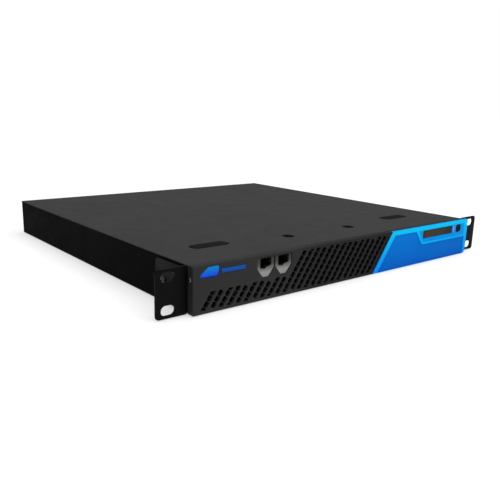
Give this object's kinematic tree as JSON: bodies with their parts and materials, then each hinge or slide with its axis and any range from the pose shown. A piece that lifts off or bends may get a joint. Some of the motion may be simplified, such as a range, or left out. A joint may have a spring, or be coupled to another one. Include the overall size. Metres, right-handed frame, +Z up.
{
  "type": "rack-mount firewall appliance",
  "caption": "Low rack-mount network security box with ears, slanted perforated bezel, blue accent panel with window and push button, front jacks, slide-off cover and fans.",
  "frame": {"origin": "centre of the bounding box footprint, on the plane that the box rests on", "axes": "+X to the right seen from the front, +Y from the bezel towards the rear, +Z up"},
  "size_m": [0.4826, 0.42, 0.044],
  "materials": {
    "black_steel": "fine-texture black powder coat",
    "charcoal_paint": "fine-texture charcoal powder coat",
    "bezel_plastic": "charcoal moulded plastic, fine spark texture",
    "accent_blue": "satin azure moulded plastic",
    "smoked_window": "smoked translucent lens",
    "light_bar": "milky light pipe",
    "black_plastic": "black moulded plastic",
    "badge_blue": "glossy blue domed badge",
    "nickel": "bright nickel-plated steel",
    "zinc_steel": "zinc-plated sheet steel",
    "aluminium": "extruded aluminium",
    "circuit_board": "green solder mask over glass-epoxy board",
    "brass": "plated brass",
    "display_glass": "character display glass",
    "cable_jacket": "black cable sleeve"
  },
  "bodies": {
    "chassis": {"chassis_tray": "black_steel", "rear_panel": "black_steel", "front_bezel": "bezel_plastic", "bezel_screw": "nickel", "accent_panel": "accent_blue", "indicator_window": "smoked_window", "status_light_bar": "light_bar", "badge_emblem": "badge_blue", "badge_bar": "badge_blue", "front_jack_left_shell": "nickel", "front_jack_left_insert": "black_plastic", "front_jack_right_shell": "nickel", "front_jack_right_insert": "black_plastic", "front_port_board": "circuit_board", "front_io_board": "circuit_board", "display_module": "display_glass", "button_switch": "black_plastic", "left_rack_ear": "black_steel", "right_rack_ear": "black_steel", "left_ear_screw_front": "zinc_steel", "left_ear_screw_rear": "zinc_steel", "right_ear_screw_front": "zinc_steel", "right_ear_screw_rear": "zinc_steel", "fan_frame_1": "black_plastic", "fan_frame_2": "black_plastic", "fan_frame_3": "black_plastic", "psu_fan_frame": "black_plastic", "psu_case": "zinc_steel", "psu_inlet": "black_plastic", "psu_rocker_frame": "black_plastic", "mainboard": "circuit_board", "standoff_front_left": "brass", "standoff_front_right": "brass", "standoff_rear_left": "brass", "standoff_rear_right": "brass", "processor": "zinc_steel", "cpu_heatsink": "aluminium", "chipset_heatsink": "aluminium", "dimm_socket_a": "black_plastic", "dimm_socket_b": "black_plastic", "memory_module_a": "circuit_board", "memory_module_b": "circuit_board", "power_connector": "black_plastic", "drive_bracket": "zinc_steel", "storage_drive": "aluminium", "lan_block": "nickel", "usb_block": "nickel", "serial_port": "nickel", "psu_cable": "cable_jacket", "front_cable": "cable_jacket"},
    "cover": {"top_cover": "charcoal_paint", "cover_screw_left": "black_plastic", "cover_screw_right": "black_plastic"},
    "power_button": {"power_button": "black_plastic"},
    "fan_rotor_1": {"fan_rotor_1": "black_plastic"},
    "fan_rotor_2": {"fan_rotor_2": "black_plastic"},
    "fan_rotor_3": {"fan_rotor_3": "black_plastic"},
    "psu_fan_rotor": {"psu_fan_rotor": "black_plastic"},
    "psu_rocker": {"psu_rocker": "black_plastic"}
  },
  "joints": [
    {"name": "cover_slide", "type": "slide", "parent": "chassis", "child": "cover", "axis": [0, 1, 0], "range_m": [0, 0.43]},
    {"name": "power_button_press", "type": "slide", "parent": "chassis", "child": "power_button", "axis": [0, 1, 0], "range_m": [0, 0.0015], "stiffness_N_per_m": 800},
    {"name": "fan_1_spin", "type": "hinge", "parent": "chassis", "child": "fan_rotor_1", "pos_m": [-0.073, -0.0972, 0.0215], "axis": [0, 1, 0], "continuous": true},
    {"name": "fan_2_spin", "type": "hinge", "parent": "chassis", "child": "fan_rotor_2", "pos_m": [-0.022, -0.0972, 0.0215], "axis": [0, 1, 0], "continuous": true},
    {"name": "fan_3_spin", "type": "hinge", "parent": "chassis", "child": "fan_rotor_3", "pos_m": [0.0215, -0.0972, 0.0215], "axis": [0, 1, 0], "continuous": true},
    {"name": "psu_fan_spin", "type": "hinge", "parent": "chassis", "child": "psu_fan_rotor", "pos_m": [0.141, 0.19625, 0.0206], "axis": [0, 1, 0], "continuous": true},
    {"name": "psu_switch", "type": "hinge", "parent": "chassis", "child": "psu_rocker", "pos_m": [0.167, 0.203, 0.0206], "axis": [1, 0, 0], "range_deg": [0, 16]}
  ]
}
